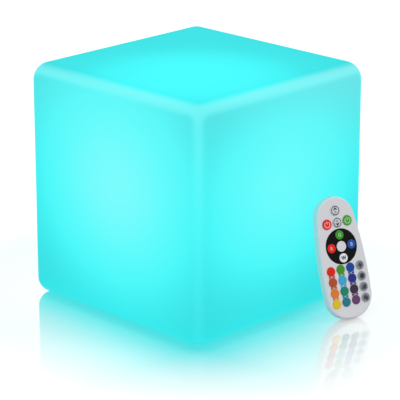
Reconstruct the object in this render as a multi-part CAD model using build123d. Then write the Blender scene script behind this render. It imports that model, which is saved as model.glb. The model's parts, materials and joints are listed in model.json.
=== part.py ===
from build123d import *
import math
import os

os.makedirs("parts", exist_ok=True)

# Glowing cube light with its cordless remote control leaning on the front face.
# Millimetres, +Z up, origin on the ground below the middle of the cube.

# ---- Cube shell ----
shell_side = 200.0
shell_edge_radius = 15.0
shell_base_radius = 12.0
shell_wall = 3.0
foot_stand = 1.0
foot_radius = 8.0
foot_pocket_depth = 1.5
foot_inset = 30.0
foot_edge_round = 0.4
pad_radius = 10.0
pad_pocket_depth = 0.8

# ---- Round service cover in the underside ----
cover_thickness = 3.0
cover_clearance = 0.3
cover_edge_chamfer = 0.8
gasket_thickness = 1.5
recess_depth = 6.5
seat_width = 12.0
seat_ring_overhang = 6.0
cover_screw_count = 6
cover_screw_bite = 7.0
gasket_margin = 1.0

# ---- Screws ----
screw_radius = 1.5
screw_head_radius = 2.8
screw_head_height = 1.6
thread_clearance = 0.05
through_clearance = 0.2
driver_slot_width = 0.8
driver_slot_depth = 0.8

# ---- Inner tub, boards and cells ----
cell_radius = 9.2
cell_length = 65.0
cell_gap = 0.6
cell_clearance = 0.1
tub_room = 20.9
tub_clearance = 0.6
tub_wall = 2.4
tub_floor = 1.5
tub_height = 44.0
post_count = 4
post_radius = 3.2
post_gap = 0.8
board_post_height = 23.5
board_thickness = 1.6
control_board_margin = 3.3
board_screw_length = 8.0
strap_thickness = 0.4
strap_height = 8.0
tray_wall = 1.5
tray_wall_height = 12.0
tray_end_room = 1.0
wire_radius = 0.8
wire_bend = 3.0
wire_sidestep = 7.0
wire_spread = 8.0

# ---- Power button and charging socket, side by side ----
service_row_margin = 17.4
button_offset = 14.0
button_radius = 6.5
button_travel = 1.5
button_proud = 0.8
button_edge_round = 0.5
button_flange_overhang = 1.2
button_flange_thickness = 1.2
running_clearance = 0.1
guard_width = 1.6
guard_height = 0.6
switch_side = 7.0
switch_height = 6.5
stem_radius = 2.0
stem_bite = 1.5
switch_bore_depth = 4.5
jack_offset = 14.0
jack_side = 9.0
jack_height = 11.0
jack_bore_radius = 2.8
jack_bore_depth = 9.5
jack_pin_radius = 1.0
jack_pin_length = 7.5
socket_board_length = 40.0
socket_board_width = 13.0
socket_hole_radius = 5.0
plug_head_radius = 7.5
plug_head_thickness = 1.0
plug_stem_length = 4.0
plug_tab_reach = 4.5
plug_tab_width = 6.0
plug_edge_round = 0.3

# ---- Light engine ----
deck_thickness = 2.0
led_board_margin = 4.0
led_side = 5.0
led_height = 1.6
led_ring_counts = (16, 8)
led_ring_margins = (6.0, 21.0)
lens_radius = 1.9
lens_height = 0.4
receiver_width = 5.2
receiver_depth = 3.2
receiver_height = 6.8
receiver_lens_radius = 1.6
dome_height = 24.0
dome_wall = 2.0
dome_flange_margin = 3.0
dome_flange_thickness = 2.0
lead_radius = 0.7
lead_pitch = 2.2
lead_count = 4
lead_row_margin = 14.0
lead_hole_radius = 5.0

# ---- Control chips: length, width, height, place on the board ----
control_parts = (
    (10.0, 7.5, 1.8, 0.0, 4.0),
    (6.5, 6.0, 2.3, -22.0, 10.0),
    (6.5, 6.0, 2.3, -22.0, 0.0),
    (6.5, 6.0, 2.3, -22.0, -10.0),
    (8.0, 8.0, 4.0, 20.0, -4.0),
    (5.0, 4.0, 1.5, 6.0, -14.0),
    (12.0, 5.0, 6.0, 0.0, 32.0),
    (8.0, 5.0, 6.0, 0.0, -28.0),
)

# ---- Remote control: outline ----
bottom_margin = 10.4
top_margin = 7.1
side_margin = 3.65
remote_widest_at = 34.6
remote_top_radius = 17.5
remote_corner_radius = 19.0
remote_wall = 1.6
remote_face_round = 1.4
remote_back_round = 2.2

# ---- Remote control: layers from the back to the front ----
door_thickness = 1.4
coin_clearance = 0.1
coin_radius = 10.0
coin_height = 2.5
contact_room = 0.5
remote_board_thickness = 0.8
mat_thickness = 0.6
key_travel = 0.5
key_gap = 0.1
key_flange_thickness = 1.2
remote_face_thickness = 1.6
floor_thickness = 1.6
tongue_height = 0.8
tongue_clearance = 0.05

# ---- Remote control: keys ----
grid_columns = 4
grid_rows = 4
grid_key_radius = 3.8
grid_column_gap = 1.7
grid_row_gap = 1.45
ring_key_count = 4
ring_key_margin = 1.4
ring_rim = 1.3
ring_dip = 0.05
ring_thickness = 0.6
ring_recess = 0.5
ring_gap = 0.1
hub_radius = 4.4
hub_proud = 0.25
top_key_radius = 4.2
power_key_gap = 1.35
power_row_gap = 1.0
bright_row_gap = 1.6
key_proud = 0.7
key_edge_round = 0.35
key_hole_clearance = 0.15
key_flange_overhang = 0.5
pill_radius = 1.5
pill_gap = 0.05
pill_hole_clearance = 0.3

# ---- Remote control: battery door, screws and infrared lamp ----
door_radius = 12.2
door_centre = 30.0
door_ring_clearance = 0.15
door_ring_wall = 1.0
door_ring_height = 2.2
door_lug_count = 3
door_lug_reach = 1.9
door_lug_width = 3.0
door_lug_gap = 0.1
door_lug_thickness = 0.8
lug_start = 90.0
door_turn = 45.0
door_notch_clearance = 0.4
coin_slot_length = 13.0
coin_slot_width = 1.8
coin_slot_depth = 0.7
support_wall = 1.0
support_clearance = 0.3
small_screw_radius = 0.85
small_head_radius = 1.7
small_head_height = 0.8
small_head_sink = 1.0
small_screw_length = 5.0
boss_radius = 1.8
bottom_boss_height = 5.2
boss_gap = 0.3
side_boss_rise = 6.2
lamp_radius = 1.5
lamp_length = 5.6
lamp_proud = 0.4
lamp_clearance = 0.1
lamp_level = 4.9
contact_thickness = 0.25
contact_width = 3.0
contact_length = 9.0
side_contact_length = 5.0
small_chip = (8.0, 5.0, 1.4)
small_part = (2.0, 1.2, 0.8)
board_clearance = 0.3

# ---- Where the remote leans ----
remote_yaw = -17.0
remote_lean = 18.0
remote_roll = 2.4
remote_heel_x = 43.0
remote_rest_gap = 0.3

standing = (Align.CENTER, Align.CENTER, Align.MIN)
hanging = (Align.CENTER, Align.CENTER, Align.MAX)

# ---- Radii and places that follow from the cells outwards ----
tub_radius = cell_length / 2 + tub_room
opening_radius = tub_radius + tub_clearance
cover_radius = opening_radius + seat_width
cover_screw_circle = opening_radius + seat_width / 2
recess_radius = cover_radius + cover_clearance
seat_ring_radius = recess_radius + seat_ring_overhang
service_row_offset = tub_radius - service_row_margin
deck_post_circle = tub_radius - tub_wall - post_gap - post_radius
control_board_radius = deck_post_circle - post_radius - control_board_margin
dome_radius = deck_post_circle - screw_head_radius - through_clearance
dome_flange_radius = tub_radius - dome_flange_margin
led_board_radius = dome_radius - dome_wall - led_board_margin
lead_row_offset = led_board_radius - lead_row_margin
cell_offset = cell_radius + cell_gap / 2
strap_reach = cell_length / 2 + strap_thickness
tray_inner_length = 2 * (strap_reach + tray_end_room)
tray_inner_width = 2 * (cell_offset + cell_radius + cell_clearance)
board_post_offset = tray_inner_width / 2 + tray_wall + post_gap + post_radius

# ---- Heights that follow from the sizes above ----
shell_bottom = foot_stand
seat_level = shell_bottom + recess_depth
cover_top = seat_level - gasket_thickness
cover_bottom = cover_top - cover_thickness
seat_ring_height = recess_depth + cover_screw_bite + shell_wall
tub_floor_top = cover_top + tub_floor
tub_top = tub_floor_top + tub_height
socket_board_level = tub_floor_top + jack_height
control_board_level = tub_floor_top + board_post_height
control_board_top = control_board_level + board_thickness
deck_top = tub_top + deck_thickness
led_board_top = deck_top + board_thickness
tray_floor_top = tub_floor_top + tray_wall
cell_axis_level = tray_floor_top + cell_clearance + cell_radius
switch_bottom = socket_board_level - switch_height

cover_screw_spots = PolarLocations(cover_screw_circle, cover_screw_count)
board_post_spots = GridLocations(2 * board_post_offset, 2 * board_post_offset, 2, 2)
deck_post_spots = PolarLocations(deck_post_circle, post_count)
button_place = Pos(button_offset, -service_row_offset)
jack_place = Pos(-jack_offset, -service_row_offset)
foot_spread = shell_side - 2 * foot_inset
foot_spots = GridLocations(foot_spread, foot_spread, 2, 2)

# ---- Places along and across the remote that follow from its keys ----
grid_pitch_across = 2 * grid_key_radius + grid_column_gap
grid_pitch_along = 2 * grid_key_radius + grid_row_gap
grid_bottom_row = bottom_margin + grid_key_radius
grid_top_row = grid_bottom_row + (grid_rows - 1) * grid_pitch_along
ring_key_circle = hub_radius + ring_key_margin + grid_key_radius
ring_radius = ring_key_circle + grid_key_radius + ring_rim
ring_centre = grid_top_row + grid_key_radius + ring_radius - ring_dip
power_row = ring_centre + ring_radius + power_row_gap + top_key_radius
power_key_offset = 2 * top_key_radius + power_key_gap
bright_key_row = power_row + 2 * top_key_radius + bright_row_gap
remote_length = bright_key_row + top_key_radius + top_margin
outer_column = (grid_columns - 1) / 2 * grid_pitch_across
remote_half_width = outer_column + grid_key_radius + side_margin
side_boss_height = ring_centre + side_boss_rise

# ---- Levels in the remote that follow from its layers ----
coin_level = door_thickness + coin_clearance
remote_board_level = coin_level + coin_height + contact_room
remote_board_top = remote_board_level + remote_board_thickness
mat_top = remote_board_top + mat_thickness
key_bottom = mat_top + key_travel + key_gap
key_flange_top = key_bottom + key_flange_thickness
face_under = key_flange_top + key_gap
face_level = face_under + remote_face_thickness
split_level = remote_board_level
door_ring_radius = coin_radius + door_ring_clearance + door_ring_wall
lug_circle = door_ring_radius + door_lug_reach
support_radius = lug_circle + support_clearance
outline_side_radius = (
    (remote_length - remote_top_radius - remote_widest_at) ** 2
    / (remote_half_width - remote_top_radius)
    + remote_top_radius
    + remote_half_width
) / 2


def write(shape, node):
    """Save one named piece."""
    export_step(shape, f"parts/{node}.step")


def group(spots, piece):
    """The same piece at each spot, as separate solids."""
    return Compound([spot * piece for spot in spots])


def disc(radius, bottom, top):
    """An upright cylinder between two heights."""
    return Pos(0, 0, bottom) * Cylinder(radius, top - bottom, align=standing)


def ring(outer, inner, bottom, top):
    """An upright tube between two heights."""
    return disc(outer, bottom, top) - disc(inner, bottom, top)


def block(length, width, bottom, top):
    """An upright box between two heights."""
    return Pos(0, 0, bottom) * Box(length, width, top - bottom, align=standing)


def rounded_cube(side, radius, base_radius):
    """A cube standing on the ground, its lower edges rounded to a radius of their own."""
    cube = Box(side, side, side, align=standing)
    uprights, top_edges = cube.edges().group_by(Axis.Z)[1:]
    cube = fillet(uprights + top_edges, radius)
    return fillet(cube.edges().group_by(Axis.Z)[0], base_radius)


def screw(head_radius, head_height, radius, length):
    """A screw whose head hangs below zero and whose shank rises above it."""
    head = Cylinder(head_radius, head_height, align=hanging)
    slot = Box(2 * head_radius, driver_slot_width, 2 * driver_slot_depth)
    slot = Pos(0, 0, -head_height) * slot
    shank = Cylinder(radius, length, align=standing)
    return head - slot + shank


# ---- Cube: outside ----
def make_diffuser_shell():
    outer = rounded_cube(shell_side, shell_edge_radius, shell_base_radius)
    inner_radii = shell_edge_radius - shell_wall, shell_base_radius - shell_wall
    hollow = rounded_cube(shell_side - 2 * shell_wall, *inner_radii)
    shell = outer - Pos(0, 0, shell_wall) * hollow
    shell += disc(seat_ring_radius, 0, seat_ring_height)
    shell -= disc(recess_radius, 0, recess_depth)
    shell -= disc(opening_radius, 0, seat_ring_height)
    pilot = disc(screw_radius + thread_clearance, recess_depth, recess_depth + cover_screw_bite)
    for spot in cover_screw_spots:
        shell -= spot * pilot
    pocket = disc(foot_radius, 0, foot_pocket_depth)
    for spot in foot_spots:
        shell -= spot * pocket
    return Pos(0, 0, shell_bottom) * shell


def make_rubber_feet():
    foot = disc(foot_radius, 0, foot_stand + foot_pocket_depth)
    foot = fillet(foot.edges().group_by(Axis.Z)[0], foot_edge_round)
    pad = disc(pad_radius, 0, cover_bottom + pad_pocket_depth)
    pad = fillet(pad.edges().group_by(Axis.Z)[0], foot_edge_round)
    return Compound([spot * foot for spot in foot_spots] + [pad])


def make_base_gasket():
    outer = cover_radius - gasket_margin
    inner = opening_radius + gasket_margin
    gasket = ring(outer, inner, cover_top, seat_level)
    hole = disc(screw_radius + through_clearance, cover_top, seat_level)
    for spot in cover_screw_spots:
        gasket -= spot * hole
    return gasket


def make_base_cover():
    cover = disc(cover_radius, cover_bottom, cover_top)
    cover = chamfer(cover.edges().group_by(Axis.Z)[0], cover_edge_chamfer)
    guard_inner = button_radius + running_clearance
    guard = ring(guard_inner + guard_width, guard_inner, cover_bottom - guard_height, cover_bottom)
    cover += button_place * guard
    cover -= button_place * disc(guard_inner, cover_bottom, cover_top)
    cover -= jack_place * disc(socket_hole_radius, cover_bottom, cover_top)
    cover -= disc(pad_radius, cover_bottom, cover_bottom + pad_pocket_depth)
    for spot in cover_screw_spots:
        cover -= spot * disc(screw_radius + through_clearance, cover_bottom, cover_top)
    return cover


def make_base_screws():
    length = seat_level - cover_bottom + cover_screw_bite - thread_clearance
    piece = screw(screw_head_radius, screw_head_height, screw_radius, length)
    return group(cover_screw_spots, Pos(0, 0, cover_bottom) * piece)


# ---- Cube: button and socket ----
def make_power_button():
    face = cover_bottom - button_proud
    flange_bottom = cover_top + running_clearance
    flange_top = flange_bottom + button_flange_thickness
    button = disc(button_radius, face, flange_top)
    button = fillet(button.edges().group_by(Axis.Z)[0], button_edge_round)
    button += disc(button_radius + button_flange_overhang, flange_bottom, flange_top)
    button += disc(stem_radius, flange_bottom, switch_bottom + stem_bite)
    return button_place * button


def make_power_switch():
    switch = block(switch_side, switch_side, switch_bottom, socket_board_level)
    bore_top = switch_bottom + switch_bore_depth
    switch -= disc(stem_radius + running_clearance, switch_bottom, bore_top)
    return button_place * switch


def make_charge_jack():
    jack = block(jack_side, jack_side, tub_floor_top, socket_board_level)
    jack -= disc(jack_bore_radius, tub_floor_top, tub_floor_top + jack_bore_depth)
    return jack_place * jack


def make_jack_pin():
    bore_top = tub_floor_top + jack_bore_depth
    return jack_place * disc(jack_pin_radius, bore_top - jack_pin_length, bore_top)


def make_charge_plug():
    head_top = cover_bottom - running_clearance
    head_bottom = head_top - plug_head_thickness
    plug = disc(plug_head_radius, head_bottom, head_top)
    tab = block(plug_head_radius + plug_tab_reach, plug_tab_width, head_bottom, head_top)
    plug += Pos(-(plug_head_radius + plug_tab_reach) / 2) * tab
    plug = fillet(plug.edges().group_by(Axis.Z)[0], plug_edge_round)
    stem_radius_outside = socket_hole_radius - running_clearance
    plug += disc(stem_radius_outside, head_top, head_top + plug_stem_length)
    return jack_place * plug


def make_socket_board():
    board_top = socket_board_level + board_thickness
    board = block(socket_board_length, socket_board_width, socket_board_level, board_top)
    return Pos(0, -service_row_offset) * board


# ---- Cube: tub, cells and boards ----
def make_housing_tub():
    tub = disc(tub_radius, cover_top, tub_floor_top)
    tub += ring(tub_radius, tub_radius - tub_wall, tub_floor_top, tub_top)
    for spot in board_post_spots:
        tub += spot * disc(post_radius, tub_floor_top, control_board_level)
    for spot in deck_post_spots:
        tub += spot * disc(post_radius, tub_floor_top, tub_top)
    pilot = screw_radius + thread_clearance
    for spot in board_post_spots:
        tub -= spot * disc(pilot, control_board_level - board_screw_length, control_board_level)
    for spot in deck_post_spots:
        tub -= spot * disc(pilot, tub_top - board_screw_length, tub_top)
    flange_room = button_radius + button_flange_overhang + cover_clearance
    tub -= button_place * disc(flange_room, cover_top, tub_floor_top)
    tub -= jack_place * disc(socket_hole_radius, cover_top, tub_floor_top)
    return tub


def make_battery_tray():
    outer_length = tray_inner_length + 2 * tray_wall
    outer_width = tray_inner_width + 2 * tray_wall
    rim = tray_floor_top + tray_wall_height
    tray = block(outer_length, outer_width, tub_floor_top, rim)
    return tray - block(tray_inner_length, tray_inner_width, tray_floor_top, rim)


def make_battery_cells():
    cell = Rot(0, 90, 0) * Cylinder(cell_radius, cell_length)
    return Compound([Pos(0, side * cell_offset, cell_axis_level) * cell for side in (-1, 1)])


def make_cell_straps():
    width = 2 * cell_offset + strap_height
    strap = Box(strap_thickness, width, strap_height)
    reach = (cell_length + strap_thickness) / 2
    return Compound([Pos(side * reach, 0, cell_axis_level) * strap for side in (-1, 1)])


def make_control_board():
    board = disc(control_board_radius, control_board_level, control_board_top)
    hole = disc(screw_radius + through_clearance, control_board_level, control_board_top)
    for spot in board_post_spots:
        board -= spot * hole
    return board


def make_control_chips():
    chips = []
    for length, width, height, across, along in control_parts:
        chip = block(length, width, control_board_top, control_board_top + height)
        chips.append(Pos(across, along) * chip)
    return Compound(chips)


def make_inner_screws():
    board_bite = board_screw_length + board_thickness - thread_clearance
    board_screw = Rot(180, 0, 0) * screw(screw_head_radius, screw_head_height, screw_radius, board_bite)
    board_screw = Pos(0, 0, control_board_top) * board_screw
    flange_top = deck_top + dome_flange_thickness
    deck_bite = flange_top - tub_top + board_screw_length - thread_clearance
    deck_screw = Rot(180, 0, 0) * screw(screw_head_radius, screw_head_height, screw_radius, deck_bite)
    deck_screw = Pos(0, 0, flange_top) * deck_screw
    screws = [spot * board_screw for spot in board_post_spots]
    screws += [spot * deck_screw for spot in deck_post_spots]
    return Compound(screws)


def make_power_leads():
    leads = []
    strap_top = cell_axis_level + strap_height / 2
    middle = (strap_top + control_board_level) / 2
    outer = (cell_length + strap_thickness) / 2
    inner = outer - wire_sidestep
    for side in (-1, 1):
        points = [
            (outer, 0, strap_top),
            (outer, 0, middle),
            (inner, 0, middle),
            (inner, 0, control_board_level),
        ]
        path = FilletPolyline(*points, radius=wire_bend)
        section = Plane(origin=path @ 0, z_dir=path % 0) * Circle(wire_radius)
        lead = sweep(section, path=path)
        leads.append(Rot(0, 0, 90 - side * 90) * lead)
    board_top = socket_board_level + board_thickness
    riser = disc(wire_radius, board_top, control_board_level)
    for side in (-1, 1):
        leads.append(Pos(side * wire_spread / 2, -service_row_offset + wire_spread / 2) * riser)
    return Compound(leads)


# ---- Cube: light engine ----
def make_reflector_deck():
    deck = disc(tub_radius, tub_top, deck_top)
    for spot in deck_post_spots:
        deck -= spot * disc(screw_radius + through_clearance, tub_top, deck_top)
    return deck - Pos(0, lead_row_offset) * disc(lead_hole_radius, tub_top, deck_top)


def make_led_board():
    return disc(led_board_radius, deck_top, led_board_top)


def make_led_emitters():
    top = led_board_top + led_height
    emitter = block(led_side, led_side, led_board_top, top)
    emitter += disc(lens_radius, top, top + lens_height)
    emitters = []
    for count, margin in zip(led_ring_counts, led_ring_margins):
        spots = PolarLocations(led_board_radius - margin, count)
        emitters += [spot * emitter for spot in spots]
    return Compound(emitters)


def make_infrared_receiver():
    top = led_board_top + receiver_height
    receiver = block(receiver_width, receiver_depth, led_board_top, top)
    lens = Rot(90, 0, 0) * Cylinder(receiver_lens_radius, receiver_depth, align=standing)
    return receiver + Pos(0, 0, (led_board_top + top) / 2) * lens


def cap(radius, height):
    """A solid slice of a ball, standing on its flat side."""
    ball_radius = (radius**2 + height**2) / (2 * height)
    ball = Pos(0, 0, height - ball_radius) * Sphere(ball_radius)
    return ball & disc(radius, 0, height)


def make_dome_cover():
    dome = cap(dome_radius, dome_height) + disc(dome_flange_radius, 0, dome_flange_thickness)
    dome -= cap(dome_radius - dome_wall, dome_height - dome_wall)
    for spot in deck_post_spots:
        dome -= spot * disc(screw_radius + through_clearance, 0, dome_flange_thickness)
        dome -= spot * disc(screw_head_radius + through_clearance, dome_flange_thickness, dome_height)
    return Pos(0, 0, deck_top) * dome


def make_led_leads():
    lead = disc(lead_radius, control_board_top, deck_top)
    row = GridLocations(lead_pitch, 0, lead_count, 1)
    return Compound([Pos(0, lead_row_offset) * spot * lead for spot in row])


# ---- Remote: outline ----
def side_reach(height, inset):
    """Half the remote's width at a height on its long sides, drawn inwards by inset."""
    drop = height - remote_widest_at
    chord = math.sqrt((outline_side_radius - inset) ** 2 - drop**2)
    return remote_half_width - outline_side_radius + chord


def remote_outline(inset):
    """The oval outline drawn inwards by inset, as tangent arcs about fixed centres."""
    side_radius = outline_side_radius - inset
    top_radius = remote_top_radius - inset
    corner_radius = remote_corner_radius - inset
    side_centre = Vector(remote_half_width - outline_side_radius, remote_widest_at)
    top_centre = Vector(0, remote_length - remote_top_radius)
    reach = outline_side_radius - remote_corner_radius
    rise = remote_widest_at - remote_corner_radius
    corner_x = side_centre.X + math.sqrt(reach**2 - rise**2)
    corner_centre = Vector(corner_x, remote_corner_radius)
    upper = side_centre + (top_centre - side_centre).normalized() * side_radius
    lower = side_centre + (corner_centre - side_centre).normalized() * side_radius
    middle = side_centre + ((upper + lower) / 2 - side_centre).normalized() * side_radius
    heel = corner_centre - Vector(0, corner_radius)
    knee = corner_centre + ((heel + lower) / 2 - corner_centre).normalized() * corner_radius
    tip = top_centre + Vector(0, top_radius)
    right = (heel, knee, lower, middle, upper)
    left = [Vector(-point.X, point.Y) for point in right]
    sides = [ThreePointArc(*points) for side in (right, left) for points in (side[:3], side[2:])]
    ends = [Line(left[0], right[0]), ThreePointArc(right[-1], tip, left[-1])]
    return make_face(Wire([*sides, *ends]))


def slab(inset, bottom, top):
    """The remote's outline, drawn inwards, as a plate between two levels."""
    return Pos(0, 0, bottom) * extrude(remote_outline(inset), top - bottom)


def grid_key_spots():
    """Across, along and radius of each key in the grid of colours and modes."""
    spots = {}
    for column in range(grid_columns):
        for row in range(grid_rows):
            across = column * grid_pitch_across - outer_column
            along = grid_top_row - row * grid_pitch_along
            spots[grid_key_names[column][row]] = (across, along, grid_key_radius)
    return spots


grid_key_names = (
    ("key_colour_red", "key_colour_rust", "key_colour_orange", "key_colour_yellow"),
    ("key_colour_green", "key_colour_sky", "key_colour_sea", "key_colour_teal"),
    ("key_colour_blue", "key_colour_navy", "key_colour_purple", "key_colour_plum"),
    ("key_mode_1", "key_mode_2", "key_mode_3", "key_mode_4"),
)
key_spots = {
    "key_brighter": (0, bright_key_row, top_key_radius),
    "key_dimmer": (0, power_row, top_key_radius),
    "key_off": (-power_key_offset, power_row, top_key_radius),
    "key_on": (power_key_offset, power_row, top_key_radius),
    "key_ring_green": (0, ring_centre + ring_key_circle, grid_key_radius),
    "key_ring_red": (-ring_key_circle, ring_centre, grid_key_radius),
    "key_ring_blue": (ring_key_circle, ring_centre, grid_key_radius),
    "key_ring_white": (0, ring_centre - ring_key_circle, grid_key_radius),
    **grid_key_spots(),
}


door_place = Pos(0, door_centre)
boss_across = side_reach(side_boss_height, remote_wall) - boss_radius - boss_gap
boss_spots = [
    Pos(0, bottom_boss_height),
    Pos(-boss_across, side_boss_height),
    Pos(boss_across, side_boss_height),
]


# ---- Remote: pieces ----
def make_key(radius):
    top = face_level + key_proud
    key = disc(radius, key_flange_top, top)
    key = fillet(key.edges().group_by(Axis.Z)[-1], key_edge_round)
    key += disc(radius + key_flange_overhang, key_bottom, key_flange_top)
    return key + disc(pill_radius, remote_board_top + key_travel + pill_gap, key_bottom)


def make_front_shell():
    casing = slab(0, split_level, face_level)
    casing = fillet(casing.edges().group_by(Axis.Z)[-1], remote_face_round)
    casing -= slab(remote_wall, split_level, face_under)
    rebate_top = split_level + tongue_height + tongue_clearance
    casing -= slab(remote_wall / 2 - tongue_clearance, split_level, rebate_top)
    for spot in boss_spots:
        casing += spot * disc(boss_radius, floor_thickness + tongue_clearance, face_under)
        casing -= spot * disc(
            small_screw_radius + thread_clearance,
            floor_thickness,
            floor_thickness + small_screw_length,
        )
    for across, along, radius in key_spots.values():
        casing -= Pos(across, along) * disc(radius + key_hole_clearance, face_under, face_level)
    casing -= Pos(0, ring_centre) * ring(
        ring_radius + ring_gap, hub_radius, face_level - ring_recess, face_level
    )
    casing += Pos(0, ring_centre) * disc(hub_radius, face_under, face_level + hub_proud)
    return casing - lamp_body(lamp_clearance)


def make_ring_inlay():
    bottom = face_level - ring_recess
    inlay = ring(ring_radius, hub_radius + ring_gap, bottom, bottom + ring_thickness)
    for spot in PolarLocations(ring_key_circle, ring_key_count):
        inlay -= spot * disc(grid_key_radius + key_hole_clearance, bottom, bottom + ring_thickness)
    return Pos(0, ring_centre) * inlay


def lamp_body(extra):
    """The lamp at the remote's top end, thicker by extra all round."""
    lamp = Rot(-90, 0, 0) * Cylinder(lamp_radius + extra, lamp_length, align=standing)
    return Pos(0, remote_length + lamp_proud - lamp_length, lamp_level) * lamp


def make_infrared_lamp():
    return lamp_body(0)


def lugs(extra, reach, bottom, top):
    """The lugs round the battery door, wider by extra on each side."""
    lug = Pos(reach / 2) * block(reach, door_lug_width + 2 * extra, bottom, top)
    band = PolarLocations(0, door_lug_count, start_angle=lug_start)
    spread = Part() + [spot * lug for spot in band]
    return spread & disc(reach, bottom, top)


def make_back_shell():
    casing = slab(0, 0, split_level)
    casing = fillet(casing.edges().group_by(Axis.Z)[0], remote_back_round)
    casing -= slab(remote_wall, floor_thickness, split_level)
    tongue = slab(remote_wall / 2, split_level, split_level + tongue_height)
    casing += tongue - slab(remote_wall, split_level, split_level + tongue_height)
    casing -= lamp_body(lamp_clearance)
    support_outer = support_radius + support_wall
    casing += door_place * ring(support_outer, support_radius, floor_thickness, remote_board_level)
    casing -= door_place * disc(door_radius + running_clearance, 0, floor_thickness)
    notches = lugs(door_notch_clearance, support_radius, 0, floor_thickness)
    casing -= door_place * Rot(0, 0, door_turn) * notches
    for spot in boss_spots:
        casing -= spot * disc(small_head_radius + through_clearance, 0, small_head_sink)
        casing -= spot * disc(small_screw_radius + through_clearance, 0, floor_thickness)
    return casing


def make_battery_door():
    inner = door_ring_radius - door_ring_wall
    rim = door_thickness + door_ring_height
    lug_bottom = floor_thickness + door_lug_gap
    door = disc(door_ring_radius, door_thickness, rim)
    door += lugs(0, lug_circle, lug_bottom, lug_bottom + door_lug_thickness)
    door -= disc(inner, door_thickness, rim)
    door += disc(door_radius, 0, door_thickness)
    return door_place * (door - block(coin_slot_length, coin_slot_width, 0, coin_slot_depth))


def make_coin_cell():
    return door_place * disc(coin_radius, coin_level, coin_level + coin_height)


def make_cell_contacts():
    leaf_bottom = coin_level + coin_height
    leaf = block(contact_width, contact_length, leaf_bottom, remote_board_level)
    clip_bottom = door_thickness + door_ring_height + door_lug_gap
    clip = block(side_contact_length, contact_thickness, clip_bottom, remote_board_level)
    reach = coin_radius + coin_clearance / 2 + contact_thickness / 2
    return Compound([door_place * leaf, door_place * Pos(0, reach) * clip])


def inner_layer(bottom, top):
    """A sheet that fills the casing, cut round the screw bosses and the lamp."""
    sheet = slab(remote_wall + board_clearance, bottom, top)
    for spot in boss_spots:
        sheet -= spot * disc(boss_radius + board_clearance, bottom, top)
    lamp_room = 2 * (lamp_radius + board_clearance)
    reach = lamp_length + board_clearance
    notch = block(lamp_room, 2 * reach, bottom, top)
    return sheet - Pos(0, remote_length + lamp_proud) * notch


def make_remote_board():
    return inner_layer(remote_board_level, remote_board_top)


def make_key_mat():
    mat = inner_layer(remote_board_top, mat_top)
    hole = disc(pill_radius + pill_hole_clearance, remote_board_top, mat_top)
    for across, along, _ in key_spots.values():
        mat -= Pos(across, along) * hole
    return mat


def make_remote_board_parts():
    length, width, height = small_chip
    chip = block(width, length, remote_board_level - height, remote_board_level)
    parts = [Pos(0, ring_centre) * chip]
    length, width, height = small_part
    passive = block(length, width, remote_board_level - height, remote_board_level)
    for side in (-1, 1):
        parts.append(Pos(side * ring_key_circle, ring_centre) * passive)
    return Compound(parts)


def make_remote_screws():
    piece = screw(small_head_radius, small_head_height, small_screw_radius, small_screw_length)
    return group(boss_spots, Pos(0, 0, small_head_sink) * piece)


# ---- Remote: the place where it leans ----
def leaning_place():
    """Turn the remote, then move it until it meets the ground and the cube's front face."""
    yaw, lean, roll = (math.radians(a) for a in (remote_yaw, remote_lean, remote_roll))
    across = Vector(math.cos(yaw), math.sin(yaw), 0)
    inwards = Vector(-math.sin(yaw), math.cos(yaw), 0)
    along = inwards * math.sin(lean) + Vector(0, 0, math.cos(lean))
    outwards = inwards * -math.cos(lean) + Vector(0, 0, math.sin(lean))
    rolled = across * math.cos(roll) + along * math.sin(roll)
    turn = Plane(origin=(0, 0, 0), x_dir=rolled, z_dir=outwards).location
    extent = (turn * make_back_shell()).bounding_box()
    heel_y = -shell_side / 2 - remote_rest_gap - extent.max.Y
    return Pos(remote_heel_x, heel_y, -extent.min.Z) * turn


cube_pieces = {
    "diffuser_shell": make_diffuser_shell,
    "rubber_feet": make_rubber_feet,
    "base_gasket": make_base_gasket,
    "base_cover": make_base_cover,
    "base_screws": make_base_screws,
    "power_button": make_power_button,
    "power_switch": make_power_switch,
    "charge_jack": make_charge_jack,
    "charge_jack_pin": make_jack_pin,
    "charge_plug": make_charge_plug,
    "socket_board": make_socket_board,
    "housing_tub": make_housing_tub,
    "battery_tray": make_battery_tray,
    "battery_cells": make_battery_cells,
    "battery_straps": make_cell_straps,
    "control_board": make_control_board,
    "control_chips": make_control_chips,
    "inner_screws": make_inner_screws,
    "power_leads": make_power_leads,
    "reflector_deck": make_reflector_deck,
    "led_board": make_led_board,
    "led_emitters": make_led_emitters,
    "infrared_receiver": make_infrared_receiver,
    "dome_cover": make_dome_cover,
    "led_leads": make_led_leads,
}
remote_pieces = {
    "remote_front_shell": make_front_shell,
    "remote_back_shell": make_back_shell,
    "remote_ring_inlay": make_ring_inlay,
    "remote_key_mat": make_key_mat,
    "remote_board": make_remote_board,
    "remote_board_parts": make_remote_board_parts,
    "remote_coin_cell": make_coin_cell,
    "remote_cell_contacts": make_cell_contacts,
    "remote_battery_door": make_battery_door,
    "remote_infrared_lamp": make_infrared_lamp,
    "remote_screws": make_remote_screws,
}

for node, make in cube_pieces.items():
    write(make(), node)

remote_place = leaning_place()
for node, make in remote_pieces.items():
    write(remote_place * make(), node)
for node, (across, along, radius) in key_spots.items():
    write(remote_place * Pos(across, along) * make_key(radius), node)

remote_axes = Plane(remote_place)
door_axis = remote_place * door_place
print("remote outward axis", tuple(remote_axes.z_dir))
print("remote length axis", tuple(remote_axes.y_dir))
print("remote heel", tuple(remote_place.position))
print("battery door centre", tuple(door_axis.position))
print("remote thickness", round(face_level, 2))
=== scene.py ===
import json
from math import cos, pi, radians, sin

import bmesh
import bpy
from mathutils import Matrix, Vector


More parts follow.
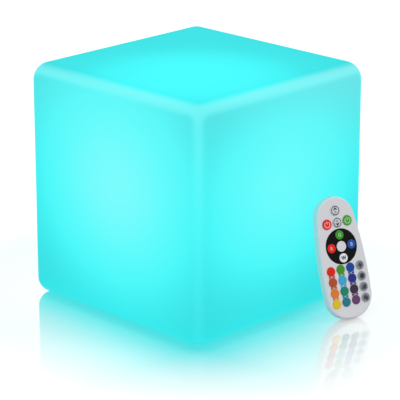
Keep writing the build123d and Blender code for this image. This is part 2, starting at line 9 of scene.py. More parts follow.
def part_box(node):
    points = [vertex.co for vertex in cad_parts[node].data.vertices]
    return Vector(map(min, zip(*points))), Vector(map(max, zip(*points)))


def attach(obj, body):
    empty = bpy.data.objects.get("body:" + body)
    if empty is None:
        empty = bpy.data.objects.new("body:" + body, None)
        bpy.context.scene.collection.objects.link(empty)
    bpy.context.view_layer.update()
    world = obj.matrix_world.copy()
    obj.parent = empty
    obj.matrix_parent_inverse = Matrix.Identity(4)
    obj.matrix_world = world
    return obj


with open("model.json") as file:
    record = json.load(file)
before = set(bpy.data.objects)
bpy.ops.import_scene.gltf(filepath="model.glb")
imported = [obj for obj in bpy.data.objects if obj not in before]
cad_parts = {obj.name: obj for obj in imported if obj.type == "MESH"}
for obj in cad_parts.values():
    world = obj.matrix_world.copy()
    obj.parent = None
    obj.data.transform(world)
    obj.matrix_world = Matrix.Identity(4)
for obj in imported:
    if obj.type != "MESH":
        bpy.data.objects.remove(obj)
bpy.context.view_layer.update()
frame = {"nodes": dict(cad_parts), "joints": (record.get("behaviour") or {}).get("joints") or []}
nodes = frame["nodes"]
joints = {joint["name"]: joint for joint in frame["joints"]}
mm = 0.001
up = Vector((0, 0, 1))

# The camera looks at the near upright edge of the cube from well above the floor.
view = dict(azimuth=-45.37, elevation=18.33, distance=1.7977, focalPixels=2148.0,
            aim=(0.0, 0.0, 0.101), aimRight=0.00212, aimUp=-0.01909, sensor=36.0,
            framePixels=400, clipEnd=50.0)


def makeCamera():
    az = radians(view["azimuth"])
    el = radians(view["elevation"])
    back = Vector((sin(az) * cos(el), -cos(az) * cos(el), sin(el)))
    right = up.cross(back).normalized()
    top = back.cross(right)
    aim = Vector(view["aim"]) + right * view["aimRight"] + top * view["aimUp"]
    data = bpy.data.cameras.new("photoCamera")
    data.sensor_width = view["sensor"]
    data.lens = view["sensor"] * view["focalPixels"] / view["framePixels"]
    data.clip_end = view["clipEnd"]
    camera = bpy.data.objects.new("photoCamera", data)
    turn = Matrix((right, top, back)).transposed().to_4x4()
    camera.matrix_world = Matrix.Translation(aim + back * view["distance"]) @ turn
    bpy.context.collection.objects.link(camera)
    bpy.context.scene.camera = camera


makeCamera()
print("camera placed")


def screen(red, green, blue):
    # a colour as it looks on a screen, 0 to 255, made linear for a shader
    parts = [c / 255 for c in (red, green, blue)]
    linear = [c / 12.92 if c <= 0.04045 else ((c + 0.055) / 1.055) ** 2.4 for c in parts]
    return tuple(linear) + (1.0,)


def scaled(colour, factor):
    return tuple(min(1.0, c * factor) for c in colour[:3]) + (1.0,)


white = (1.0, 1.0, 1.0, 1.0)


class Value:
    # a socket that takes part in plain sums
    def __init__(self, bench, socket):
        self.bench = bench
        self.socket = socket

    def maths(self, operation, *parts):
        sockets = dict(enumerate(parts))
        return self.bench.add("ShaderNodeMath", dict(operation=operation), sockets)

    def output(self, name):
        return Value(self.bench, self.socket.node.outputs[name])

    def __add__(self, other):
        return self.maths("ADD", self, other)

    def __radd__(self, other):
        return self.maths("ADD", other, self)

    def __sub__(self, other):
        return self.maths("SUBTRACT", self, other)

    def __rsub__(self, other):
        return self.maths("SUBTRACT", other, self)

    def __mul__(self, other):
        return self.maths("MULTIPLY", self, other)

    def __rmul__(self, other):
        return self.maths("MULTIPLY", other, self)

    def __truediv__(self, other):
        return self.maths("DIVIDE", self, other)

    def __pow__(self, other):
        return self.maths("POWER", self, other)

    def __neg__(self):
        return self.maths("MULTIPLY", self, -1.0)

    def __abs__(self):
        return self.maths("ABSOLUTE", self)

    def exp(self):
        return self.maths("EXPONENT", self)

    def root(self):
        return self.maths("SQRT", self)

    def atLeast(self, other):
        return self.maths("MAXIMUM", self, other)

    def atMost(self, other):
        return self.maths("MINIMUM", self, other)

    def fade(self, start, end):
        # smooth step from 0 at start to 1 at end
        sockets = {"Value": self, "From Min": start, "From Max": end}
        return self.bench.add("ShaderNodeMapRange", dict(interpolation_type="SMOOTHSTEP"), sockets)


class Bench:
    # the nodes of one material or world
    def __init__(self, tree):
        self.tree = tree
        tree.nodes.clear()

    def add(self, kind, settings=None, sockets=None):
        made = self.tree.nodes.new(kind)
        for key, value in (settings or {}).items():
            if key == "stops":
                self.setStops(made.color_ramp, value)
            else:
                setattr(made, key, value)
        for key, value in (sockets or {}).items():
            if isinstance(value, Value):
                self.tree.links.new(value.socket, made.inputs[key])
            else:
                made.inputs[key].default_value = value
        return Value(self, made.outputs[0] if made.outputs else None)

    def setStops(self, ramp, stops):
        while len(ramp.elements) < len(stops):
            ramp.elements.new(1.0)
        for element, (place, colour) in zip(ramp.elements, stops):
            element.position = place
            element.color = colour

    def place(self):
        return self.add("ShaderNodeTexCoord").output("Object")

    def split(self, vector):
        parts = self.add("ShaderNodeSeparateXYZ", sockets={0: vector})
        return parts, parts.output("Y"), parts.output("Z")

    def noise(self, scale, detail=2.0, roughness=0.5):
        return self.add("ShaderNodeTexNoise", sockets={
            "Vector": self.place(), "Scale": scale, "Detail": detail, "Roughness": roughness})

    def mix(self, amount, first, second):
        # sockets 6 and 7 of a Mix node are its two colours, and output 2 is the result
        made = self.add("ShaderNodeMix", dict(data_type="RGBA"), {0: amount, 6: first, 7: second})
        return Value(self, made.socket.node.outputs[2])

    def bump(self, height, strength, distance=0.2 * mm):
        return self.add("ShaderNodeBump", sockets={
            "Height": height, "Strength": strength, "Distance": distance})


def newFinish(name):
    material = bpy.data.materials.new(name)
    material.use_nodes = True
    return material, Bench(material.node_tree)


def closeFinish(bench, surface):
    bench.add("ShaderNodeOutputMaterial", sockets={"Surface": surface})


def plainSurface(bench, sockets):
    closeFinish(bench, bench.add("ShaderNodeBsdfPrincipled", sockets=sockets))


# Where the remote's face is: out of the face, along it and across it.
outOfFace = -Vector(joints["key_dimmer_press"]["axis"]).normalized()


def middle(name):
    low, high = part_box(name)
    return (Vector(low) + Vector(high)) / 2


alongFace = middle("key_brighter") - middle("key_dimmer")
alongFace = (alongFace - outOfFace * alongFace.dot(outOfFace)).normalized()
acrossFace = alongFace.cross(outOfFace)
faceAxes = Matrix((acrossFace, alongFace, outOfFace)).transposed()
backAxes = Matrix((-acrossFace, alongFace, -outOfFace)).transposed()


flatSlack = 0.01 * mm  # points this close to the highest one are on the flat


def flatMiddle(name, axes):
    # middle of the flat that looks out along the last of the three axes
    points = [axes.transposed() @ v.co for v in nodes[name].data.vertices]
    level = max(p.z for p in points)
    rim = [p for p in points if p.z > level - flatSlack]
    x = (min(p.x for p in rim) + max(p.x for p in rim)) / 2
    y = (min(p.y for p in rim) + max(p.y for p in rim)) / 2
    return axes @ Vector((x, y, level))


def keyTop(name):
    return flatMiddle(name, faceAxes)


def drawingMatrix(spot, axes, lift=0.0):
    # flat shapes are drawn in millimetres and laid on the flat that the axes describe
    spot = spot + axes.col[2] * lift * mm
    return Matrix.Translation(spot) @ axes.to_4x4() @ Matrix.Scale(mm, 4)


# Kinds of noise that the finishes share
fineGrain = dict(detail=3.0, roughness=0.6)
softCloud = dict(detail=3.0)
roughCloud = dict(detail=4.0, roughness=0.6)

# Glow of the lit cube. The level runs from 0, deepest cyan, to 1, palest. The faces across Y
# follow the photo's right face and those across X its left face, where the heart is nearer. A
# little white haze, a painted highlight, grows with height and to the right.
glow = dict(
    half=0.100, base=0.26, shift=(-0.006, -0.007),
    right=dict(across=0.086, height=0.111, spread=0.064, gain=0.55),
    left=dict(across=0.080, height=0.115, spread=0.074, gain=0.75),
    top=dict(heart=(-0.038, -0.032), spread=0.085, fall=1.5, base=0.20, gain=0.32,
             turn=(0.55, 0.95)),
    # rim: a painted highlight on the rolled edges, a lift of the level and some white
    rim=dict(side=(0.02, 0.27), top=(0.05, 0.50), turn=(0.2, 0.7), level=0.03, paintedRimLift=0.08,
             paintedSheen=0.006, paintedSheenHigh=0.028, paintedSheenTop=0.052),
    dark=(-0.004, 0.007),
    deep=dict(colour=screen(0, 248, 250), share=0.18, foot=(0.030, 0.006), turn=(0.75, 0.98),
              top=0.8, heat=1.75),
    paintedHaze=dict(start=0.100, fall=1.3, left=0.052, rise=0.35),
    body=screen(14, 60, 62), rough=0.46, roughDrift=0.08, cloud=45.0, gloss=0.02,
    grain=2600.0, grainDepth=0.04,
    stops=((0.0, (22, 204, 206)), (0.28, (53, 216, 219)), (0.40, (64, 234, 236)),
           (0.50, (74, 244, 245)), (0.70, (92, 247, 248)), (1.0, (119, 248, 249))),
)


def sideGlow(place, isLeft):
    def blend(name):
        right, left = glow["right"][name], glow["left"][name]
        return right + isLeft * (left - right)

    x, y, z = place
    alongX, alongY = x - glow["shift"][0], y - glow["shift"][1]
    across = alongX * alongX + isLeft * (alongY * alongY - alongX * alongX)
    breadth = blend("across")
    rise = (z - blend("height")) / blend("spread")
    fall = across / (breadth * breadth) + rise * rise
    return glow["base"] + (-fall).exp() * blend("gain")


def topHeat(place):
    x, y = place[:2]
    heartX, heartY = glow["top"]["heart"]
    away = (x - heartX) * (x - heartX) + (y - heartY) * (y - heartY)
    away = away / glow["top"]["spread"] ** 2
    return (-(away ** glow["top"]["fall"])).exp()


def glowFinish():
    material, bench = newFinish("litPolythene")
    top, rim, deep, paintedHaze = glow["top"], glow["rim"], glow["deep"], glow["paintedHaze"]
    place = bench.split(bench.place())
    x, z = place[0], place[2]
    nx, ny, nz = bench.split(bench.add("ShaderNodeTexCoord").output("Normal"))
    isLeft = abs(nx)
    heat = topHeat(place)
    side = sideGlow(place, isLeft)
    level = side + (heat * top["gain"] + top["base"] - side) * nz.fade(*top["turn"])
    # painted highlight: the rolled edges are made brighter, most of all round the top
    high = ((z - paintedHaze["start"]) / glow["half"]).atLeast(0.0).atMost(1.0)
    turned = 1.0 - isLeft.atLeast(abs(ny)).atLeast(abs(nz))
    edge = turned.fade(*rim["side"])
    topEdgeHighlight = turned.root().fade(*rim["top"])
    edge = edge + (topEdgeHighlight - edge) * nz.fade(*rim["turn"])
    level = level + edge * (high * rim["paintedRimLift"] + rim["level"])
    level = level * z.fade(*glow["dark"])  # the rolled lower rim is darkest
    stops = [(at, screen(*colour)) for at, colour in glow["stops"]]
    colour = bench.add("ShaderNodeValToRGB", dict(stops=stops), {0: level})
    # the foot and the top are purer cyan, most of all where the top is hottest
    isTop = nz.fade(*deep["turn"])
    pure = z.fade(*deep["foot"]) + isTop * (heat * deep["heat"] + deep["top"])
    colour = bench.mix(pure * deep["share"], colour, deep["colour"])
    # painted highlight: a white haze over the sides that grows with height and to the right
    pale = high ** paintedHaze["fall"] * (paintedHaze["left"] + (x + glow["half"]) * paintedHaze["rise"]) * (1.0 - isTop)
    # painted sheen on the rolled edges, growing with height and on the top, mixed in as white
    paintedSheen = high * rim["paintedSheenHigh"] + nz.atLeast(0.0) * rim["paintedSheenTop"] + rim["paintedSheen"]
    colour = bench.mix(pale + edge * paintedSheen, colour, white)
    cloud = bench.noise(glow["cloud"])
    plainSurface(bench, {
        "Base Color": glow["body"], "Roughness": glow["rough"] + cloud * glow["roughDrift"],
        "Specular IOR Level": glow["gloss"], "Emission Color": colour, "Emission Strength": 1.0,
        "Normal": bench.bump(bench.noise(glow["grain"], **fineGrain), glow["grainDepth"])})
    return material


moulded = dict(cloud=60.0, tone=0.5, roughDrift=0.08)


def mouldedFinish(name, colour, rough=0.40, grain=1500.0, depth=0.05, drift=0.05, gloss=0.5):
    # moulded plastic with a fine grain and a faint drift of colour
    material, bench = newFinish(name)
    cloud = bench.noise(moulded["cloud"], **softCloud)
    plainSurface(bench, {
        "Base Color": bench.mix(cloud * moulded["tone"], colour, scaled(colour, 1 - 2 * drift)),
        "Roughness": rough + cloud * moulded["roughDrift"], "Specular IOR Level": gloss,
        "Normal": bench.bump(bench.noise(grain, **fineGrain), depth)})
    return material


# The two shells of the remote meet in a fine groove. How far it rises above the back, its
# edges and its reach are in millimetres.
casing = dict(seamRise=4.5, seamEdge=(0.20, 0.07), seamDark=0.45, seamTone=0.3, tone=0.96,
              rough=0.36, grain=1500.0, grainDepth=0.1, depth=0.5, reach=0.1)


def casingFinish(name, colour):
    material, bench = newFinish(name)
    cloud = bench.noise(moulded["cloud"], **softCloud)
    seam = flatMiddle("remote_battery_door", backAxes).dot(outOfFace) + casing["seamRise"] * mm
    rise = bench.add("ShaderNodeVectorMath", dict(operation="DOT_PRODUCT"),
                     {0: bench.place(), 1: tuple(outOfFace)}).output("Value")
    outer, inner = casing["seamEdge"]
    groove = abs(rise - seam).fade(outer * mm, inner * mm)
    tone = bench.mix(cloud * moulded["tone"], colour, scaled(colour, casing["tone"]))
    grain = bench.noise(casing["grain"], **fineGrain) * casing["grainDepth"] - groove
    plainSurface(bench, {
        "Base Color": bench.mix(groove * casing["seamDark"], tone,
                                scaled(colour, casing["seamTone"])),
        "Roughness": casing["rough"] + cloud * moulded["roughDrift"],
        "Normal": bench.bump(grain, casing["depth"], casing["reach"] * mm)})
    return material


rubber = dict(cloud=340.0, tone=0.6, pale=1.12, roughDrift=0.12, grain=3200.0, depth=0.06)


def rubberFinish(name, colour, rough=0.58, gloss=0.35):
    material, bench = newFinish(name)
    cloud = bench.noise(rubber["cloud"], **roughCloud)
    plainSurface(bench, {
        "Base Color": bench.mix(cloud * rubber["tone"], colour, scaled(colour, rubber["pale"])),
        "Roughness": rough + cloud * rubber["roughDrift"], "Specular IOR Level": gloss,
        "Normal": bench.bump(bench.noise(rubber["grain"]), rubber["depth"])})
    return material


steel = dict(smudge=420.0, dark=0.75, rough=0.26, roughDrift=0.22, grain=5200.0, depth=0.05)


def steelFinish(name, colour):
    material, bench = newFinish(name)
    smudge = bench.noise(steel["smudge"], **roughCloud)
    plainSurface(bench, {
        "Base Color": bench.mix(smudge, colour, scaled(colour, steel["dark"])),
        "Metallic": 1.0, "Roughness": steel["rough"] + smudge * steel["roughDrift"],
        "Normal": bench.bump(bench.noise(steel["grain"]), steel["depth"])})
    return material


board = dict(tracks=260.0, trackEdge=(0.05, 0.02), trackShare=0.7, cloud=120.0, dark=0.8,
             rough=0.30, roughDrift=0.1, depth=0.2, reach=0.05)


def boardFinish(name, colour, track):
    # lacquer over fine copper tracks
    material, bench = newFinish(name)
    cells = bench.add("ShaderNodeTexVoronoi", dict(feature="DISTANCE_TO_EDGE"),
                      {"Vector": bench.place(), "Scale": board["tracks"]})
    line = cells.fade(*board["trackEdge"])
    cloud = bench.noise(board["cloud"])
    lacquer = bench.mix(cloud, colour, scaled(colour, board["dark"]))
    plainSurface(bench, {
        "Base Color": bench.mix(line * board["trackShare"], lacquer, screen(*track)),
        "Roughness": board["rough"] + cloud * board["roughDrift"],
        "Normal": bench.bump(line, board["depth"], board["reach"] * mm)})
    return material


def dress(material, *names):
    for name in names:
        for slot in nodes[name].material_slots:
            slot.material = material


finishes = dict(
    whiteCasing=dict(make=mouldedFinish, colour=(222, 224, 222)),
    blackCasing=dict(make=mouldedFinish, colour=(34, 34, 36), rough=0.36),
    greyRubber=dict(make=rubberFinish, colour=(126, 128, 130)),
    blackRubber=dict(make=rubberFinish, colour=(44, 44, 46)),
    brightSteel=dict(make=steelFinish, colour=(196, 196, 192)),
    greenBoard=dict(make=boardFinish, colour=(14, 92, 50), track=(40, 128, 76)),
    whiteBoard=dict(make=boardFinish, colour=(226, 226, 222), track=(204, 204, 198)),
    cellWrap=dict(make=mouldedFinish, colour=(40, 96, 168), rough=0.25),
    redJacket=dict(make=mouldedFinish, colour=(178, 44, 34)),
    frostedDome=dict(make=mouldedFinish, colour=(226, 236, 236), rough=0.5),
    emitterResin=dict(make=mouldedFinish, colour=(238, 230, 178), rough=0.2),
    remoteCasing=dict(make=casingFinish, colour=(219, 217, 222)),
    ringBlack=dict(make=mouldedFinish, colour=(6, 6, 7), rough=0.5, depth=0.01, gloss=0.1),
    matRubber=dict(make=rubberFinish, colour=(206, 206, 210)),
    lampResin=dict(make=mouldedFinish, colour=(206, 208, 216), rough=0.12),
)
wearers = dict(
    whiteCasing=("base_cover", "housing_tub", "reflector_deck"),
    blackCasing=("power_switch", "charge_jack", "battery_tray", "infrared_receiver",
                 "control_chips", "remote_board_parts"),
    greyRubber=("rubber_feet", "base_gasket"),
    blackRubber=("power_button", "charge_plug"),
    brightSteel=("base_screws", "inner_screws", "charge_jack_pin", "battery_straps",
                 "remote_screws", "remote_cell_contacts", "remote_coin_cell"),
    greenBoard=("control_board", "socket_board", "remote_board"),
    whiteBoard=("led_board",),
    cellWrap=("battery_cells",),
    redJacket=("power_leads", "led_leads"),
    frostedDome=("dome_cover",),
    emitterResin=("led_emitters",),
    remoteCasing=("remote_front_shell", "remote_back_shell", "remote_battery_door"),
    ringBlack=("remote_ring_inlay",),
    matRubber=("remote_key_mat",),
    lampResin=("remote_infrared_lamp",),
)
keySilicone = dict(rough=0.46, gloss=0.14)
keyColours = dict(
    key_brighter=(212, 212, 218), key_dimmer=(212, 212, 218), key_off=(222, 42, 30),
    key_on=(72, 158, 50), key_ring_green=(58, 150, 36), key_ring_red=(228, 38, 26),
    key_ring_blue=(34, 82, 172), key_ring_white=(230, 230, 235),
    key_colour_red=(218, 38, 28), key_colour_rust=(176, 78, 44),
    key_colour_orange=(222, 122, 42), key_colour_yellow=(224, 190, 36),
    key_colour_green=(64, 146, 42), key_colour_sky=(58, 168, 210),
    key_colour_sea=(24, 132, 110), key_colour_teal=(38, 118, 134),
    key_colour_blue=(24, 70, 152), key_colour_navy=(40, 48, 130),
    key_colour_purple=(62, 42, 70), key_colour_plum=(104, 62, 106),
    key_mode_1=(158, 164, 174), key_mode_2=(158, 164, 174), key_mode_3=(158, 164, 174),
    key_mode_4=(158, 164, 174))


def makeFinish(name, make, colour, **looks):
    return make(name, screen(*colour), **looks)


def dressNodes():
    dress(glowFinish(), "diffuser_shell")
    for name, looks in finishes.items():
        dress(makeFinish(name, **looks), *wearers[name])
    for name, colour in keyColours.items():
        dress(rubberFinish(name + "Silicone", screen(*colour), **keySilicone), name)


dressNodes()
print("finishes on the packed pieces")


weldReach = 0.001  # points of a drawing this close are one, in millimetres


class Drawing:
    # flat shapes with a little thickness, gathered in one mesh
    def __init__(self, thick):
        self.bm = bmesh.new()
        self.thick = thick

    def settle(self, known, move, turn):
        fresh = [v for v in self.bm.verts if v not in known]
        spin = Matrix.Rotation(radians(turn), 3, "Z")
        bmesh.ops.rotate(self.bm, verts=fresh, cent=(0, 0, 0), matrix=spin)
        bmesh.ops.translate(self.bm, verts=fresh, vec=(move[0], move[1], 0))

    def plate(self, corners, move=(0, 0), turn=0.0):
        known = set(self.bm.verts)
        face = self.bm.faces.new([self.bm.verts.new((x, y, 0)) for x, y in corners])
        grown = bmesh.ops.extrude_face_region(self.bm, geom=[face])["geom"]
        tops = [item for item in grown if isinstance(item, bmesh.types.BMVert)]
        bmesh.ops.translate(self.bm, verts=tops, vec=(0, 0, self.thick))
        self.settle(known, move, turn)

    def bar(self, length, width, move=(0, 0), turn=0.0):
        x, y = length / 2, width / 2
        self.plate([(-x, -y), (x, -y), (x, y), (-x, y)], move, turn)

    def disc(self, radius, move=(0, 0), segments=32):
        known = set(self.bm.verts)
        bmesh.ops.create_cone(self.bm, cap_ends=True, segments=segments, radius1=radius,
                              radius2=radius, depth=self.thick)
        fresh = [v for v in self.bm.verts if v not in known]
        bmesh.ops.translate(self.bm, verts=fresh, vec=(0, 0, self.thick / 2))
        self.settle(known, move, 0.0)

    def hoop(self, inner, outer, move=(0, 0), start=0.0, sweep=360.0, steps=40):
        # a ring, or part of one, is a small upright section spun about the middle
        known = set(self.bm.verts)
        corners = [(inner, 0), (outer, 0), (outer, self.thick), (inner, self.thick)]
        verts = [self.bm.verts.new((r, 0, z)) for r, z in corners]
        geom = [self.bm.edges.new((verts[i - 1], verts[i])) for i in range(4)]
        whole = sweep >= 360.0
        if not whole:
            geom = [self.bm.faces.new(verts)]
        bmesh.ops.spin(self.bm, geom=geom, cent=(0, 0, 0), axis=(0, 0, 1), dvec=(0, 0, 0),
                       angle=radians(sweep), steps=steps, use_merge=whole)
        self.settle(known, move, start)

    def finish(self, name, matrix, material, body):
        bmesh.ops.remove_doubles(self.bm, verts=self.bm.verts, dist=weldReach)
        bmesh.ops.recalc_face_normals(self.bm, faces=self.bm.faces)
        self.bm.transform(matrix)
        mesh = bpy.data.meshes.new(name)
        self.bm.to_mesh(mesh)
        self.bm.free()
        mesh.materials.append(material)
        piece = bpy.data.objects.new(name, mesh)
        bpy.context.collection.objects.link(piece)
        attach(piece, body)


# Prints on the keys, in millimetres from the middle of each key.
keyPrint = dict(
    thick=0.05, sink=0.02, outline=(3.1, 3.8), powerArc=(2.2, 2.6), powerGap=84.0,
    powerSteps=28, powerBar=(0.5, 2.3), powerBarRise=1.5,
    chevron=((-2.3, 0.1), (0.0, 0.9), (2.3, 0.1), (0.0, 3.0)),
    sunDisc=0.8, sunSteps=20, sunRay=(0.6, 0.32), sunReach=1.35, sunRays=8, sunDrop=-1.2,
    letterSize=4.1, modeRing=(2.95, 3.3), modeDisc=2.55, modeThick=0.035,
)
inkLook = dict(rough=0.5, depth=0.01)


def inkFinish(name, *colour):
    return mouldedFinish(name, screen(*colour), **inkLook)


inkWhite = inkFinish("whiteInk", 240, 240, 242)
inkPale = inkFinish("paleInk", 206, 212, 206)
inkBlack = inkFinish("blackInk", 26, 26, 30)
inkGrey = inkFinish("greyInk", 142, 142, 150)
inkSlate = inkFinish("slateInk", 96, 102, 112)


def finishKeyPrint(drawing, label, key, ink):
    matrix = drawingMatrix(keyTop(key), faceAxes, -keyPrint["sink"])
    drawing.finish(key + "_" + label, matrix, ink, key)


def powerPrint(key):
    drawing = Drawing(keyPrint["thick"])
    gap = keyPrint["powerGap"]
    drawing.hoop(*keyPrint["powerArc"], start=90 + gap / 2, sweep=360 - gap,
                 steps=keyPrint["powerSteps"])
    drawing.bar(*keyPrint["powerBar"], (0, keyPrint["powerBarRise"]))
    finishKeyPrint(drawing, "mark", key, inkWhite)


def brightnessPrint(key, way):
    drawing = Drawing(keyPrint["thick"])
    drawing.hoop(*keyPrint["outline"])
    drawing.plate(keyPrint["chevron"], turn=0 if way > 0 else 180)
    finishKeyPrint(drawing, "mark", key, inkBlack)
    sun = Drawing(keyPrint["thick"])
    middleY = way * keyPrint["sunDrop"]
    sun.disc(keyPrint["sunDisc"], (0, middleY), keyPrint["sunSteps"])
    count, reach = keyPrint["sunRays"], keyPrint["sunReach"]
    for ray in range(count):
        angle = 2 * pi * ray / count
        spot = (reach * cos(angle), middleY + reach * sin(angle))
        sun.bar(*keyPrint["sunRay"], spot, 360 * ray / count)
    finishKeyPrint(sun, "sun", key, inkGrey)


# Letter, ink and extra stroke width of each key in the ring
ringLetters = dict(
    key_ring_green=("G", inkPale, 0.0), key_ring_red=("R", inkPale, 0.0),
    key_ring_blue=("B", inkPale, 0.0), key_ring_white=("W", inkBlack, 0.22))


def letterPrint(key, letter, ink, weight):
    curve = bpy.data.curves.new(letter, "FONT")
    curve.body = letter
    curve.size = keyPrint["letterSize"]
    curve.offset = weight
    curve.extrude = keyPrint["thick"] / 2
    carrier = bpy.data.objects.new(letter, curve)
    bpy.context.collection.objects.link(carrier)
    mesh = bpy.data.meshes.new_from_object(carrier)
    bpy.data.objects.remove(carrier)
    drawing = Drawing(keyPrint["thick"])
    drawing.bm.from_mesh(mesh)
    points = [v.co.copy() for v in drawing.bm.verts]
    shift = [-(min(p[i] for p in points) + max(p[i] for p in points)) / 2 for i in range(2)]
    shift.append(keyPrint["thick"] / 2)
    bmesh.ops.translate(drawing.bm, verts=drawing.bm.verts, vec=shift)
    finishKeyPrint(drawing, "letter", key, ink)


# Four plain marks for the modes, in millimetres.
modeMark = dict(
    bolt=((0.8, 2.7), (-2.0, -0.5), (-0.3, -0.5), (-0.8, -2.7), (2.0, 0.6), (0.3, 0.6)),
    burst=dict(points=8, outer=2.7, inner=1.6),
    fade=dict(bars=4, width=0.95, height=1.3, growth=0.95, start=(-1.75, -1.2), pitch=1.16),
    wave=dict(rows=(-1.25, 0.25), arc=(0.55, 1.4), reach=0.97, rise=0.4, steps=16),
)


def boltMark(drawing):
    drawing.plate(modeMark["bolt"])


def burstMark(drawing):
    burst = modeMark["burst"]
    points = []
    for step in range(2 * burst["points"]):
        reach = burst["inner"] if step % 2 else burst["outer"]
        angle = pi * step / burst["points"]
        points.append((reach * cos(angle), reach * sin(angle)))
    drawing.plate(points)


def fadeMark(drawing):
    fade = modeMark["fade"]
    x, y = fade["start"]
    for step in range(fade["bars"]):
        spot = (x + step * fade["pitch"], y + step * fade["growth"] / 2)
        drawing.bar(fade["width"], fade["height"] + step * fade["growth"], spot)


def waveMark(drawing):
    wave = modeMark["wave"]
    for y in wave["rows"]:
        drawing.hoop(*wave["arc"], (-wave["reach"], y), 0, 180, wave["steps"])
        drawing.hoop(*wave["arc"], (wave["reach"], y + wave["rise"]), 180, 180, wave["steps"])


def modePrint(key, mark):
    drawing = Drawing(keyPrint["thick"])
    mark(drawing)
    finishKeyPrint(drawing, "mark", key, inkBlack)
    rim = Drawing(keyPrint["modeThick"])
    rim.hoop(*keyPrint["modeRing"])
    rim.disc(keyPrint["modeDisc"])
    finishKeyPrint(rim, "rim", key, inkSlate)


powerPrint("key_off")
powerPrint("key_on")
brightnessPrint("key_brighter", 1)
brightnessPrint("key_dimmer", -1)
for key, (letter, ink, weight) in ringLetters.items():
    letterPrint(key, letter, ink, weight)
for number, mark in enumerate((boltMark, burstMark, fadeMark, waveMark), 1):
    modePrint("key_mode_" + str(number), mark)
print("prints on the keys")


# Coloured ties printed on the casing between the keys of a column, in millimetres.
tiePrint = dict(thick=0.05, sink=0.02, keyProud=0.7, keyRoom=4.2, reach=2.85, waist=0.42, steps=5)
tieColumns = (("red", "rust", "orange", "yellow"), ("green", "sky", "sea", "teal"),
              ("blue", "navy", "purple", "plum"))


def tieOutline(half, side):
    # the upper edge follows the key above it, and the lower edge the key below
    room, steps = tiePrint["keyRoom"], tiePrint["steps"]
    edge = []
    for step in range(steps + 1):
        x = tiePrint["waist"] + (tiePrint["reach"] - tiePrint["waist"]) * step / steps
        edge.append((x, half - (room ** 2 - x ** 2) ** 0.5))
    outline = edge + [(x, -y) for x, y in reversed(edge)]
    return [(side * x, y) for x, y in outline][::side]


def makeTie(upper, lower):
    ink = nodes["key_colour_" + upper].material_slots[0].material
    top, bottom = keyTop("key_colour_" + upper), keyTop("key_colour_" + lower)
    drawing = Drawing(tiePrint["thick"])
    for side in (-1, 1):
        drawing.plate(tieOutline((top - bottom).length / 2 / mm, side))
    spot = (top + bottom) / 2
    lift = -tiePrint["keyProud"] - tiePrint["sink"]
    drawing.finish("tie_" + upper, drawingMatrix(spot, faceAxes, lift), ink, "remote")


for column in tieColumns:
    for upper, lower in zip(column, column[1:]):
        makeTie(upper, lower)
print("ties between the keys")


# Marks moulded in the service cover under the cube and round the battery door, in
# millimetres.
coverMark = dict(
    thick=0.4, sink=0.1, rings=((18.0, 19.0), (51.5, 52.5)), ringSteps=96,
    rowOffset=(14.0, -24.6),
    power=dict(arc=(1.55, 2.05), start=132, sweep=276, steps=24, bar=(0.5, 1.9), rise=1.2),
    plug=dict(body=((-1.5, 0.7), (1.5, 0.7), (1.5, -0.3), (0.7, -1.2), (-0.7, -1.2),
                    (-1.5, -0.3)),
              pin=(0.45, 1.3), pinPlace=(0.8, 1.5), tail=(0.5, 1.1), tailDrop=-1.7),
)
doorMark = dict(thick=0.2, sink=0.05, arc=(14.0, 14.5), start=52.0, sweep=38.0, arcSteps=16,
                gap=9.0, dot=0.7, ring=(0.5, 0.8), steps=24,
                head=((0, 0.7), (-1.3, 0), (0, -0.7)))
downAxes = Matrix(((-1, 0, 0), (0, 1, 0), (0, 0, -1)))


def finishCoverMark(drawing, name, x, y):
    spot = Vector((x * mm, y * mm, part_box("base_cover")[0][2]))
    matrix = drawingMatrix(spot, downAxes, -coverMark["sink"])
    coverMaterial = nodes["base_cover"].material_slots[0].material
    drawing.finish(name, matrix, coverMaterial, "cube")


def makeCoverMarks():
    rings = Drawing(coverMark["thick"])
    for inner, outer in coverMark["rings"]:
        rings.hoop(inner, outer, steps=coverMark["ringSteps"])
    finishCoverMark(rings, "cover_rings", 0, 0)
    x, y = coverMark["rowOffset"]
    sizes = coverMark["power"]
    power = Drawing(coverMark["thick"])
    power.hoop(*sizes["arc"], start=sizes["start"], sweep=sizes["sweep"], steps=sizes["steps"])
    power.bar(*sizes["bar"], (0, sizes["rise"]))
    finishCoverMark(power, "power_mark", x, y)
    # a plug with two pins and a tail
    sizes = coverMark["plug"]
    plug = Drawing(coverMark["thick"])
    plug.plate(sizes["body"])
    aside, rise = sizes["pinPlace"]
    plug.bar(*sizes["pin"], (-aside, rise))
    plug.bar(*sizes["pin"], (aside, rise))
    plug.bar(*sizes["tail"], (0, sizes["tailDrop"]))
    finishCoverMark(plug, "plug_mark", -x, y)


def makeDoorMarks():
    # an arrow bent round the door, from a filled dot for shut to a ring for open
    drawing = Drawing(doorMark["thick"])
    inner, outer = doorMark["arc"]
    start, end = doorMark["start"], doorMark["start"] + doorMark["sweep"]
    reach = (inner + outer) / 2

    def onArc(angle):
        return reach * cos(radians(angle)), reach * sin(radians(angle))

    drawing.hoop(inner, outer, start=start, sweep=doorMark["sweep"], steps=doorMark["arcSteps"])
    drawing.disc(doorMark["dot"], onArc(start - doorMark["gap"]), doorMark["steps"])
    drawing.hoop(*doorMark["ring"], onArc(end + doorMark["gap"]), steps=doorMark["steps"])
    drawing.plate(doorMark["head"], onArc(end), end - 90)
    spot = flatMiddle("remote_battery_door", backAxes)
    matrix = drawingMatrix(spot, backAxes, -doorMark["sink"])
    casingMaterial = nodes["remote_back_shell"].material_slots[0].material
    drawing.finish("door_arrow", matrix, casingMaterial, "remote")


makeCoverMarks()
makeDoorMarks()
print("moulded marks")


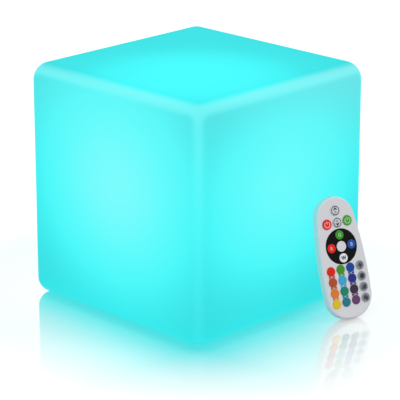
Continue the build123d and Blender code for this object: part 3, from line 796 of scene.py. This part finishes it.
# Floor and light. The floor mirrors the cube less with distance, in metres from its foot.
floorLook = dict(
    size=12.0, tone=0.5, inner=0.088, underEdge=0.002,
    shine=dict(strength=0.905, near=8.5, far=105.0, round=0.012, corner=0.45, stretchX=1.08,
               rough=0.05),
    calm=dict(heart=(0.054, -0.165), reach=(0.032, 0.045), share=0.75),
    lift=dict(base=0.56, near=0.25, nearRange=(0.08, 0.20), far=0.4, farRange=(0.6, 3.4)),
)


def calmShare(x, y):
    # in the photo the remote has hardly any mirror image before its foot
    calm = floorLook["calm"]
    besideX = (x - calm["heart"][0]) / calm["reach"][0]
    besideY = (y - calm["heart"][1]) / calm["reach"][1]
    return (-(besideX * besideX + besideY * besideY)).exp() * calm["share"]


def floorFinish():
    material, bench = newFinish("studioFloor")
    shine, lift, tone = floorLook["shine"], floorLook["lift"], floorLook["tone"]
    x, y = bench.split(bench.place())[:2]
    outX = (abs(x) - floorLook["inner"]).atLeast(0.0) * shine["stretchX"]
    outY = (abs(y) - floorLook["inner"]).atLeast(0.0)
    straight = (outX * outX + outY * outY).root()
    away = straight + (outX + outY - straight) * shine["corner"] - shine["round"]
    away = away.atLeast(0.0)
    mirrored = (-(away * shine["near"] + away * away * shine["far"])).exp()
    mirrored = mirrored * (1.0 - calmShare(x, y))
    # clear of the cube the floor is plain white, also far off, where the lamps are weaker
    strength = away.fade(*lift["nearRange"]) * lift["near"] + lift["base"]
    strength = strength + away.fade(*lift["farRange"]) * lift["far"]
    seen = bench.add("ShaderNodeLightPath").output("Is Camera Ray")
    plain = bench.add("ShaderNodeBsdfDiffuse", sockets={"Color": (tone, tone, tone, 1.0)})
    lit = bench.add("ShaderNodeEmission", sockets={"Color": white, "Strength": seen * strength})
    both = bench.add("ShaderNodeAddShader", sockets={0: plain, 1: lit})
    mirror = bench.add("ShaderNodeBsdfGlossy", sockets={
        "Color": white, "Roughness": shine["rough"]})
    above = bench.add("ShaderNodeMixShader", sockets={
        0: mirrored * shine["strength"], 1: both, 2: mirror})
    # clear from below and under the cube, so that the underside can be looked at
    below = bench.add("ShaderNodeNewGeometry").output("Backfacing")
    edge = floorLook["inner"]
    under = abs(x).atLeast(abs(y)).fade(edge, edge - floorLook["underEdge"])
    clear = bench.add("ShaderNodeBsdfTransparent", sockets={"Color": white})
    closeFinish(bench, bench.add("ShaderNodeMixShader", sockets={
        0: below.atLeast(under), 1: above, 2: clear}))
    return material


def makeFloor():
    bm = bmesh.new()
    bmesh.ops.create_grid(bm, x_segments=1, y_segments=1, size=floorLook["size"] / 2)
    mesh = bpy.data.meshes.new("studioFloor")
    bm.to_mesh(mesh)
    bm.free()
    mesh.materials.append(floorFinish())
    floor = bpy.data.objects.new("studioFloor", mesh)
    bpy.context.collection.objects.link(floor)


lightPlan = dict(plainSky=0.62, lamps=(
    ("keyLamp", (1.6, -2.2, 2.4), 1.4, 27.0),
    ("fillLamp", (-2.4, -1.2, 1.6), 1.8, 22.0),
    ("backLamp", (0.2, 2.2, 2.2), 1.6, 12.0),
))


def makeLights():
    world = bpy.data.worlds.new("studioWorld")
    bpy.context.scene.world = world
    world.use_nodes = True
    bench = Bench(world.node_tree)
    path = bench.add("ShaderNodeLightPath")
    bright = path.output("Is Camera Ray").atLeast(path.output("Is Glossy Ray"))
    plain = lightPlan["plainSky"]
    sky = bench.add("ShaderNodeBackground", sockets={
        "Color": white, "Strength": plain + bright * (1 - plain)})
    bench.add("ShaderNodeOutputWorld", sockets={"Surface": sky})
    for name, place, size, power in lightPlan["lamps"]:
        data = bpy.data.lights.new(name, "AREA")
        data.size = size
        data.energy = power
        lamp = bpy.data.objects.new(name, data)
        lamp.location = place
        aim = Vector(view["aim"]) - Vector(place)
        lamp.rotation_euler = aim.to_track_quat("-Z", "Y").to_euler()
        bpy.context.collection.objects.link(lamp)


makeFloor()
makeLights()
bpy.context.scene.view_settings.view_transform = "Standard"
print("floor and lights ready")
